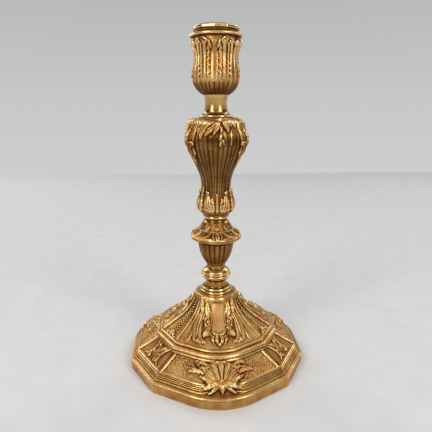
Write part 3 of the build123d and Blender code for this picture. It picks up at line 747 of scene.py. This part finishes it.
    # raised edges of the tongue, leafy scrolls beside it and a drop below
    lip = [(6.6, 98), (5.9, 91), (5.7, 83), (6.9, 77), (10.0, 73.6)]
    foot.stroke(lip, [0.5, 0.6, 0.7, 0.7, 0.5], [0.5, 0.7, 0.9, 0.9, 0.6])
    foot.leaf([(5.5, 75), (2.6, 72.6), (0, 72.0)], 1.6, 1.6, 3)
    foot.leaf([(7.6, 94), (8.6, 90), (7.8, 86)], 1.9, 1.8, 3)
    foot.leaf([(9.4, 87), (8.0, 83.4), (9.2, 80)], 1.9, 1.9, 3)
    upper_hook = [(6.2, 98), (8.8, 95.2), (9.2, 90.6), (6.9, 87.4)]
    lower_hook = [(6.6, 87.8), (9.8, 85.2), (10.2, 80.6), (7.2, 77.4)]
    foot.stroke(upper_hook, [0.5, 0.9, 0.9, 0.6], [0.8, 1.8, 1.9, 1.3])
    foot.stroke(lower_hook, [0.5, 0.9, 1.0, 0.6], [0.9, 1.9, 2.1, 1.4])
    foot.scroll((9.0, 78.6), 2.7, 110, 1.3, 0.8, 2.0, 1)
    foot.leaf([(8.0, 76.5), (10.6, 72.5), (13.2, 69.4)], 2.2, 2.0, 3)
    foot.scroll((8.2, 72.2), 2.0, 200, 1.1, 0.65, 1.7, -1)
    foot.leaf([(1.0, 71.6), (2.2, 68.4), (1.4, 64.6)], 1.9, 2.0, 3)
    foot.leaf([(4.2, 72), (5.4, 68.6), (4.6, 65.4)], 1.6, 1.8, 3)
    foot.boss((0, 64.0), 1.6, 1.4, 2.0)
    for where in ((7.9, 91.6), (8.3, 85.0), (6.4, 79.4), (11.4, 75.6), (5.6, 70.2), (10.2, 69.0)):
        foot.pit(where, 1.0, 0.8)

    # leaves at the crown, and broad acanthus lobes on the flanks
    for x, wide in ((9.0, 2.4), (13.2, 2.3)):
        foot.leaf([(x * 0.8, 88), (x * 0.92, 93.5), (x * 0.86, 99.0)], wide, 2.4, 3)
    for xs, wide, tall in (((9.2, 12.8, 15.6, 15.8), 2.9, 1.7), ((8.4, 15.4, 19.6, 20.8), 2.2, 1.5)):
        widths = [0.8, wide * 0.75, wide, wide * 0.8]
        foot.stroke(list(zip(xs, (94, 86, 76, 66))), widths, [0.5, tall, tall, 0.9])
    flank_edge = [(9.4, 96), (14.5, 86), (19.9, 76), (24.6, 66), (27.4, 62)]
    foot.stroke(flank_edge, [0.5, 0.6, 0.75, 0.8, 0.5], [0.6, 0.9, 1.1, 1.1, 0.5])
    foot.groove([(10.5, 91), (14.6, 80), (17.8, 68)], 0.55, 0.8)
    foot.groove([(12.0, 84), (13.2, 76), (13.2, 68)], 0.4, 0.6)
    foot.leaf([(14.6, 68.6), (13.0, 66.0), (10.6, 64.4)], 1.5, 1.5, 3)
    foot.leaf([(16.0, 68.0), (17.6, 65.2), (20.4, 64.2)], 1.5, 1.5, 3)
    foot.beads([(11.4, 66.4), (13.6, 64.6), (16.4, 64.0)], 3, 0.8, 1.0)

    # short sides of the dome: two fillets with a string of beads between
    foot.side("short")
    edge = np.abs(short - (short_half - 1.1))
    foot.ridge(in_dome & ~on_wide & (t > 60) & (t < 98), edge, 0.8, 1.0)
    for k in range(15):
        at = 62.5 + k * 2.35
        size = 1.15 - 0.028 * k
        foot.boss((0, at), size, size, 1.2)
        if k < 11:
            foot.leaf([(0.8, at + 0.6), (2.2, at + 1.3), (3.6 - 0.16 * k, at + 1.2)], 0.75, 0.9, 2)
    foot.leaf([(0, 66.5), (0, 62.5), (0, 59.6)], 2.0, 1.6, 3, False)
    foot.leaf([(1.5, 63.5), (4.5, 61.4), (7.2, 61.2)], 1.5, 1.4, 3)
    foot.side("wide")
    return foot.build(gilt, "candlestick", "foot")


# Turned pieces


def turned_piece(name, profile, back, patina_and_shade):
    """Round, burnished piece with the same patina all over."""
    piece = Piece(name, labelled([(profile, None)]), back, 144, 0.28, round_plan=True)
    piece.patina_and_shade += patina_and_shade
    return piece.build(burnished, "candlestick", name)


def make_collar():
    z = COLLAR_Z
    profile = [(12.6, z)] + bead(12.45, z, 0.95, 0.95) + [(11.3, z + 1.95), (11.3, z + 2.2)]
    profile += bead(11.2, z + 2.2, 1.0, 1.0)
    neck = [(10.6, 4.2), (9.5, 4.6), (8.85, 6.4), (8.8, 7.6), (9.3, COLLAR_HEIGHT)]
    profile += curve(lifted(neck, z))
    return turned_piece("foot_collar", profile, clamped(z, z + COLLAR_HEIGHT), 0.06)


def make_knop():
    z = KNOP_Z
    profile = curve([(9.3, z), (9.9, z + 0.8), (11.9, z + 2.6), (12.2, z + 3.6)], 6)
    profile += bead(11.9, z + 3.7, 0.85, 0.9) + bead(11.5, z + 5.55, 0.75, 0.7)
    shoulder = [(11.7, 7.2), (11.2, 8.4), (9.6, 9.9), (8.0, 11.2), (7.7, KNOP_HEIGHT)]
    profile += curve(lifted(shoulder, z), 6)
    return turned_piece("knop", profile, clamped(z, z + KNOP_HEIGHT), 0.13)


def make_neck_ring():
    z = RING_Z
    profile = curve([(10.9, z), (9.7, z + 0.9), (9.2, z + 2.0), (9.7, z + 2.9)], 6)
    profile += bead(9.5, z + 2.9, 1.15, 1.1) + [(10.2, z + 5.25)]
    return turned_piece("neck_ring", profile, clamped(z, z + RING_HEIGHT), 0.04)


def make_spool():
    z = SPOOL_Z
    top = z + SPOOL_HEIGHT
    neck = [(12.4, 1.7), (10.6, 2.9), (9.4, 4.8), (8.8, 8.4), (8.65, 10.8), (8.8, 14.0), (9.1, 15.4)]
    profile = [(12.8, z)] + bead(12.7, z, 0.8, 0.8)
    profile += curve(lifted(neck, z), 8)
    profile += [(9.2, z + 15.6), (9.2, top)]
    hole = [(SPIGOT_HOLE, top), (SPIGOT_HOLE, top - SPIGOT_DEPTH), (ROD, top - SPIGOT_DEPTH)]
    return turned_piece("spool", profile, rounds(hole) + tenon(z), 0.07)


# Vase


def make_vase():
    foot_radius, cup_radius, cup_flare, cup_swell, plate_radius = 7.7, 8.3, 6.5, 0.6, 14.8
    cup = []
    for share in np.linspace(0, 1, 10):
        swell = cup_swell * math.sin(math.pi * share)
        cup.append((cup_radius + cup_flare * share + swell, CUP_Z + CUP_HEIGHT * share))
    plate = [(plate_radius, PLATE_Z), (20.3, 106.95), (21.0, 108.2), (20.9, 110.2), (19.6, 111.3)]
    plate += [(16.4, 112.9), (14.6, 114.8), (13.1, 117.3), (11.6, 119.8), (11.0, VASE_TOP)]
    stem = [(foot_radius, VASE_Z), (cup_radius, CUP_Z)]
    rows = labelled([(stem, None), (cup, None), (curve(plate, 6), None)])
    vase = Piece("vase", rows, clamped(VASE_Z, VASE_TOP), 420, 0.3)
    a = np.abs(vase.angle)

    # flutes round the cup, between plain corners
    share = rise(vase.Z[:, None], CUP_Z, CUP_HEIGHT)
    lobe = np.abs(np.sin(math.pi * (a / FLUTED) * 2.5 + math.pi / 2))
    ends = rise(share, 0, 0.12) * rise(share, 1.0, -0.05)
    flutes = 0.95 * (0.55 + 0.45 * share) * (lobe**0.55 - 0.35) * ends * (a < FLUTED)
    vase.out = flutes + 1.1 * np.sin(math.pi * share**0.7) + 0.6 * ends * vase.corner()
    vase.patina_and_shade += 0.21 + 0.12 * ends
    vase.band(3.0, 0.5, 0.35)

    # plate: edge lines, a middle panel, scrolls and leaves
    vase.band(31.4, 0.8, 0.5)
    vase.stroke([(0, 32.6), (0, 39.0)], [1.6, 1.9], 0.9, False)
    vase.stroke([(3.2, 32.5), (3.4, 36), (2.7, 39.4)], 0.5, 0.7)
    sweep = [(14.6, 32.8), (10.6, 34.0), (7.6, 36.4), (5.6, 39.2)]
    vase.stroke(sweep, [0.7, 1.2, 1.3, 0.8], [0.4, 0.7, 0.8, 0.5])
    vase.stroke([(5.0, 33.0), (8.4, 32.9), (11.6, 32.6)], [0.8, 0.9, 0.5], 0.45)
    vase.band(40.4, 0.6, 0.5)
    vase.leaf([(0, 45.0), (0, 42.6), (0, 40.6)], 1.7, 0.5, 3, False)
    vase.stroke([(6.2, 45.0), (7.6, 42.6), (9.6, 40.8)], 0.7, 0.4)
    vase.side("short")
    vase.leaf([(0, 41), (0, 36.5), (0, 32.5)], 1.8, 1.2, 3, False)
    vase.side("wide")
    return vase.build(gilt, "candlestick", "vase")


# Shaft


def make_shaft():
    # height and corner radius at the foot, toe, waist, shoulder, neck and crown
    turning = [(0, 11.0), (6.4, 14.8), (24.8, 11.6), (62.6, 24.2), (73.0, 21.4), (SHAFT_HEIGHT, 14.4)]
    rows = labelled([(eased(turning, SHAFT_Z), None)])
    shaft = Piece("shaft", rows, clamped(SHAFT_Z, SHAFT_Z + SHAFT_HEIGHT), 540, 0.3)
    a, s, t = np.abs(shaft.angle), shaft.u, shaft.t

    # broad reeds with fine ones on them, and the corner scrolls
    share = rise(shaft.Z[:, None], SHAFT_Z, SHAFT_HEIGHT)
    q = a / REEDED * 2
    broad, fine = np.abs(np.sin(math.pi * q)), np.abs(np.sin(2 * math.pi * q))
    amount = 0.7 * (0.25 + 0.75 * np.sin(math.pi * share))
    reeded = rise(t, 14, 8) * rise(t, 72, -4)
    reeds = 0.7 * (broad**0.6 - 0.3) + 0.85 * (fine**0.6 - 0.4)
    point = 2.2 * np.exp(-(((t - 66) / 3.6) ** 2))
    scroll = 1.4 * (0.2 + 0.8 * share) + point - 1.6 * rise(t, 70, 9)
    shaft.out = amount * reeds * reeded * (a < REEDED) + scroll * shaft.corner()
    shaft.patina_and_shade += 0.26 * reeded + 0.09
    near_corner = np.clip(1.6 - np.abs(shaft.short_angle) / math.radians(13), 0, 1)
    shaft.patina_and_shade += 0.12 * rise(t, 50, 8) * near_corner
    margin = np.abs(a - REED_EDGE) * shaft.r
    shaft.h = np.maximum(shaft.h, reeded * 0.45 * hump(margin / 0.75))

    # leaf spray over the top of each face
    shaft.leaf([(-1.0, 83.5), (-7.0, 81.5), (-13.0, 76.5), (-16.0, 69.5)], 3.8, 2.2, 4, False)
    shaft.leaf([(-1.5, 81.0), (-8.0, 77.0), (-12.5, 70.5), (-13.6, 66.5)], 3.0, 2.0, 4, False)
    shaft.leaf([(-8.5, 85), (-14.0, 82.0), (-18.0, 75.0)], 2.8, 2.0, 3, False)
    shaft.leaf([(4.0, 83.5), (10.0, 81.0), (14.4, 75.0)], 2.6, 2.0, 3, False)
    shaft.leaf([(0.4, 78.6), (-3.6, 74.6), (-7.4, 71.0), (-9.8, 68.4)], 2.3, 3.0, 3, False)
    shaft.leaf([(1.0, 79.0), (-0.4, 75.0), (-2.4, 71.0), (-3.4, 69.2)], 2.0, 3.3, 3, False)
    shaft.leaf([(3.0, 79.4), (5.6, 76.0), (7.6, 71.4)], 2.0, 3.3, 3, False)
    shaft.leaf([(2.8, 80.4), (7.0, 78.6), (10.4, 75.4)], 2.0, 2.9, 3, False)
    shaft.leaf([(3.2, 80.8), (6.6, 82.0), (9.8, 81.4)], 1.7, 2.6, 3, False)
    shaft.leaf([(2.0, 77), (2.2, 73.6), (1.6, 69.8)], 1.2, 2.3, 2, False)
    shaft.leaf([(2.4, 70.5), (1.6, 67.4), (1.6, 64.8)], 1.25, 2.0, 2, False)
    shaft.leaf([(2.8, 66.6), (3.8, 64.2), (4.2, 61.6)], 0.95, 1.5, 2, False)
    shaft.leaf([(2.4, 65.6), (1.6, 63.0), (1.6, 60.4)], 1.05, 1.6, 2, False)
    for k in range(5):
        x, y = -5.5 - 2.6 * k, 84.6 - 0.5 * k
        shaft.leaf([(x, y), (x - 2.6, y - 3.4), (x - 4.0, y - 8.0)], 1.7, 1.9, 3, False)
    for k in range(3):
        x, y = 6.5 + 2.8 * k, 85.0 - 0.6 * k
        shaft.leaf([(x, y), (x + 2.4, y - 3.2), (x + 3.6, y - 7.0)], 1.6, 1.8, 3, False)
    shaft.boss((1.6, 80.2), 2.2, 1.9, 3.2, False)
    shaft.stroke([(10.2, 72), (10.2, 67), (9.6, 62)], [0.8, 0.7, 0.4], 1.0, False)
    for where in ((-5.6, 67.6), (5.0, 69.4), (0.2, 68.4), (12.0, 68.0)):
        shaft.pit(where, 1.5, 0.9, False)
    for amount, x, y, across, along in ((0.3, -4.0, 65.5, 7.5, 3.4), (0.35, 13.0, 65.0, 6.5, 4.5)):
        shaft.patina_and_shade += amount * np.clip(1 - np.hypot((s - x) / across, (t - y) / along), 0, 1)

    # lower leaves
    shaft.leaf([(3.2, 4.0), (5.4, 9.0), (6.6, 14.5), (7.2, 20.0)], 3.0, 1.9, 4)
    shaft.leaf([(2.4, 7.0), (3.6, 12.0), (3.4, 17.5)], 1.5, 1.5, 3)
    shaft.leaf([(7.4, 5.5), (9.2, 10.5), (9.0, 16.5)], 1.8, 1.6, 3)
    shaft.scroll((8.0, 21.4), 1.8, 260, 1.0, 0.75, 1.7, -1)
    shaft.stroke([(0, 4), (0, 12), (0, 20)], [0.9, 1.2, 0.9], 0.7, False)
    for where in ((4.2, 12.4), (8.0, 9.0)):
        shaft.pit(where, 0.9, 0.6)
    shaft.band(3.4, 0.6, 0.35)

    # corner cartouches and scrolls
    shaft.side("short")
    shaft.boss((0, 70.5), 5.4, 6.5, 1.0)
    shaft.leaf([(0, 82), (-2.6, 76), (-3.6, 69), (-2.0, 63)], 2.7, 1.7, 4)
    shaft.leaf([(0, 78), (0, 71), (0, 64)], 2.3, 2.3, 4, False)
    shaft.stroke([(-5.0, 79), (-6.0, 74), (-5.8, 68), (-4.6, 64)], [0.6, 0.8, 0.8, 0.5], 1.5)
    shaft.scroll((-3.2, 62.4), 2.1, 80, 1.2, 0.75, 2.3, 1)
    shaft.leaf([(0, 66), (0, 60), (0, 53.5)], 2.8, 2.3, 4, False)
    shaft.leaf([(-2.8, 61), (-3.8, 56.5), (-2.4, 52.0)], 1.6, 1.9, 3)
    shaft.leaf([(0, 55), (0, 49.5), (0, 44.5)], 1.7, 1.4, 3, False)
    shaft.leaf([(0, 4), (0, 10), (0, 18)], 2.4, 1.7, 4, False)
    shaft.leaf([(0, 16), (0, 21), (0, 26)], 1.6, 1.5, 3, False)
    shaft.boss((0, 83.0), 2.4, 1.3, 1.4)
    shaft.side("wide")
    return shaft.build(gilt, "candlestick", "shaft")


# Socket


def make_socket():
    z = SOCKET_Z
    steps, belly_height, belly_radius, belly_swell = 12, 11.0, 9.8, 8.1
    belly = []
    for i in range(steps):
        swell = belly_swell * math.sin(math.pi / 2 * (i / steps) ** 0.8)
        belly.append((belly_radius + swell, z + belly_height * i / steps))
    wall = eased([(belly_height, 17.9), (29.0, 16.0), (37.6, 18.6), (40.6, 18.3)], z)
    lip = bead(19.0, z + 41.1, 1.15, 1.6, 10) + [(18.9, z + 43.6), (18.2, z + SOCKET_HEIGHT)]
    rows = labelled([(belly, None), (wall, None), (lip, None)])
    axis = 0.4  # the bore's floor closes up to here
    back = [(BORE, z + SOCKET_HEIGHT), (BORE, z + BORE_FLOOR), (axis, z + BORE_FLOOR)]
    back += [(axis, z + THREAD_END), (THREAD, z + THREAD_END), (THREAD, z - SPIGOT_HEIGHT)]
    back += [(SPIGOT, z - SPIGOT_HEIGHT), (SPIGOT, z)]

    def bow(height):
        """The sides flatten towards the lip."""
        return BOW + (0.93 - BOW) * rise(height, z, SOCKET_HEIGHT) ** 4

    socket = Piece("socket", rows, rounds(back), 480, 0.28, turn=SOCKET_TURN, bow=bow)
    a, t = socket.angle, socket.t

    # gadroons on the belly
    lobes = np.abs(np.sin(math.pi * a / math.radians(12)))
    socket.out = rise(t, 0, 2) * rise(t, 14.5, -2.5) * 0.55 * (lobes**0.7 - 0.6)
    # The gadrooned belly is darker, and a band just under the lip gets painted shade.
    under_lip = socket.Z[:, None] < z + 41.3
    socket.patina_and_shade += -0.05 + 0.38 * rise(t, 15, -4) + 0.16 * rise(t, 37, 4) * under_lip

    # tongue, broad ribs and thin leaf-edged ribs
    tongue = [(0, 14), (0, 24), (0, 33), (0, 40)]
    socket.stroke(tongue, [2.4, 2.9, 2.5, 1.6], [0.5, 0.5, 0.4, 0.3], False)
    for side in (-1, 1):
        broad = [(side * 7.7, 10.5), (side * 7.6, 20), (side * 7.2, 30), (side * 7.4, 40.0)]
        socket.stroke(broad, [1.3, 1.8, 1.9, 1.8, 1.3], [0.1, 0.9, 1.4, 1.5, 1.3], False)
        thin = [(side * 4.4, 12), (side * 4.6, 24), (side * 4.3, 33), (side * 4.0, 40)]
        socket.stroke(thin, [1.1, 1.0, 0.9, 0.8], [0.1, 0.8, 0.9, 1.1], False)
        for k in range(5):
            y = 17.0 + 4.6 * k
            points = [(side * 3.0, y + 2.6), (side * 4.4, y + 1.2), (side * 5.6, y - 1.4)]
            socket.leaf(points, 1.0, 1.3, 2, False)
        thin = [(side * 10.6, 11.5), (side * 10.6, 26), (side * 10.8, 39)]
        socket.stroke(thin, [0.9, 0.9, 0.9], [0.1, 0.9, 1.0], False)
        broad = [(side * 13.2, 10.5), (side * 13.0, 26), (side * 13.6, 40)]
        socket.stroke(broad, [1.0, 1.2, 1.1], [0.1, 1.2, 1.2], False)
        for k in range(3):
            y = 16.5 + 3.6 * k
            points = [(side * 11.4, y + 2.2), (side * 12.4, y + 0.8), (side * 13.6, y - 1.2)]
            socket.leaf(points, 0.9, 1.6, 2, False)
        socket.scroll((side * 7.6, 40.4), 2.3, 90, 1.0, 1.0, 1.5, side, False)
        socket.scroll((side * 12.8, 40.4), 2.0, 90, 1.0, 0.9, 1.5, -side, False)
        points = [(side * 2.0, 35.0), (side * 3.2, 38.4), (side * 4.4, 42)]
        socket.leaf(points, 1.0, 1.7, 2, False)
    for x in (5.8, 9.4, 11.9):
        socket.groove([(x, 15), (x, 28), (x, 37)], 0.3, 0.35)
    socket.side("short")
    middle = [(0, 11), (0, 20), (0, 30), (0, 39)]
    socket.stroke(middle, [1.2, 1.7, 1.8, 1.6], [0.2, 1.3, 1.6, 2.0], False)
    socket.boss((0, 40.0), 2.6, 2.4, 2.7)
    socket.side("wide")
    return socket.build(gilt, "candlestick", "socket")


# Nozzle


def make_nozzle():
    z = NOZZLE_Z
    top = z + NOZZLE_HEIGHT
    shoulder = 15.2
    # the undercut, darkened with painted shade, and the polished drip rim over it
    rim = [(shoulder, 0.9), (16.2, 0.9), (16.3, 1.5), (16.7, 1.9), (17.7, 2.1), (18.0, 2.5)]
    rim += [(17.9, 3.5), (17.3, 4.3), (16.9, 4.45), (16.6, 4.9), (15.4, NOZZLE_HEIGHT)]
    rows = labelled([(lifted(rim, z), None)])
    back = [(14.4, top), (13.8, z + 5.2), (12.6, z + 4.55), (11.5, z + 4.15), (CANDLE_HOLE, z + 3.9)]
    back += [(CANDLE_HOLE, z - SLEEVE_LENGTH), (SLEEVE, z - SLEEVE_LENGTH), (SLEEVE, z), (shoulder, z)]
    nozzle = Piece("nozzle", rows, rounds(back), 300, 0.2, turn=NOZZLE_TURN)
    height = nozzle.Z[:, None] - z
    # painted shade in the undercut below the drip rim; the top bevel is darker too
    nozzle.patina_and_shade += 0.4 * (height < 2.0) + 0.22 * (height > 4.4)
    return nozzle.build(burnished, "nozzle", "nozzle")


make_foot()
make_collar()
make_knop()
make_vase()
make_neck_ring()
make_shaft()
make_spool()
make_socket()
make_nozzle()


# Floor, light and camera, in metres

floor_half = 1.2
corners = [(-1, -1), (1, -1), (1, 1), (-1, 1)]
floor_mesh = bpy.data.meshes.new("floor")
floor_mesh.from_pydata([(x * floor_half, y * floor_half, 0) for x, y in corners], [], [(0, 1, 2, 3)])
floor = bpy.data.objects.new("floor", floor_mesh)
scene.collection.objects.link(floor)
paper = bpy.data.materials.new("paper")
tree, shader = nodes_of(paper)
coord = tree.nodes.new("ShaderNodeTexCoord")
fibre = noise(tree, coord, 40, 3)
tone = ramp(tree, [(0.3, (0.70, 0.71, 0.73)), (0.7, (0.74, 0.75, 0.77))])
link(tree, fibre, "Fac", tone, "Fac")
tree.links.new(tone.outputs["Color"], shader.inputs["Base Color"])
shader.inputs["Roughness"].default_value = 0.9
shader.inputs["Specular IOR Level"].default_value = 0.1
floor_mesh.materials.append(paper)

# World, by direction only: 0.5 on the height ramps is the horizon and 1 the zenith. A dark strip
# above the horizon and dark walls to left and right are what the gilding mirrors.
WORLD_STRENGTH = 0.7
height_stops = [
    (0.434, (0.88, 0.88, 0.88)),
    (0.52, (0.82, 0.82, 0.83)),
    (0.64, (0.66, 0.67, 0.68)),
    (0.72, (0.26, 0.26, 0.26)),
    (0.86, (0.95, 0.94, 0.92)),
    (1.0, (1.0, 0.98, 0.95)),
]
wall_stops = [(0.5, (1.0, 1.0, 1.0)), (0.68, (0.3, 0.29, 0.28)), (0.95, (0.2, 0.19, 0.18))]
horizon_stops = [(0.57, (0.0, 0.0, 0.0)), (0.66, (1.0, 1.0, 1.0))]
world = bpy.data.worlds.new("studio")
scene.world = world
world.use_nodes = True
tree = world.node_tree
sky = tree.nodes["Background"]
coord = tree.nodes.new("ShaderNodeTexCoord")
split = tree.nodes.new("ShaderNodeSeparateXYZ")
tree.links.new(coord.outputs["Generated"], split.inputs[0])
lift = maths(tree, "MULTIPLY_ADD", split.outputs["Z"], 0.5, 0.5)
shade = ramp(tree, height_stops)
tree.links.new(lift, shade.inputs["Fac"])
walls = ramp(tree, wall_stops)
tree.links.new(maths(tree, "ABSOLUTE", split.outputs["X"]), walls.inputs["Fac"])
above = ramp(tree, horizon_stops)
tree.links.new(lift, above.inputs["Fac"])
room = multiplied(tree, shade.outputs["Color"], walls.outputs["Color"])
tree.links.new(above.outputs["Color"], room.inputs["Factor"])
tree.links.new(room.outputs[2], sky.inputs["Color"])
sky.inputs["Strength"].default_value = WORLD_STRENGTH


def lamp(name, azimuth, elevation, distance, size, power, colour):
    """Softbox aimed at the candlestick. Azimuth 0 is the front, and it grows to the right."""
    aim_height = 0.13
    data = bpy.data.lights.new(name, "AREA")
    data.shape = "RECTANGLE"
    data.size, data.size_y = size
    data.energy = power
    data.color = colour
    thing = bpy.data.objects.new(name, data)
    a, e = math.radians(azimuth), math.radians(elevation)
    at = np.array([math.sin(a) * math.cos(e), -math.cos(a) * math.cos(e), math.sin(e)]) * distance
    thing.location = (at[0], at[1], at[2] + aim_height)
    thing.rotation_euler = (math.pi / 2 - e, 0, a)
    scene.collection.objects.link(thing)


lamp("window_left", -46, 34, 1.5, (0.5, 0.9), 8.5, (1.0, 0.97, 0.92))
lamp("window_right", 40, 34, 1.5, (0.45, 0.8), 6.5, (1.0, 0.97, 0.93))
lamp("back_left", -140, 30, 1.6, (0.5, 0.8), 4.5, (1.0, 0.98, 0.95))
lamp("back_right", 130, 35, 1.6, (0.5, 0.8), 3.5, (1.0, 0.98, 0.95))

camera_data = bpy.data.cameras.new("camera")
camera = bpy.data.objects.new("camera", camera_data)
scene.collection.objects.link(camera)
camera_data.lens = 34.35
camera_data.sensor_width = 36
camera_data.clip_start = 0.01
yaw, pitch, away, eye = math.radians(3.84), math.radians(13.45), 0.33264, 0.20504
camera.location = (-away * math.sin(yaw), -away * math.cos(yaw), eye)
camera.rotation_euler = (math.pi / 2 - pitch, 0, -yaw)
scene.camera = camera
scene.view_settings.view_transform = "Standard"
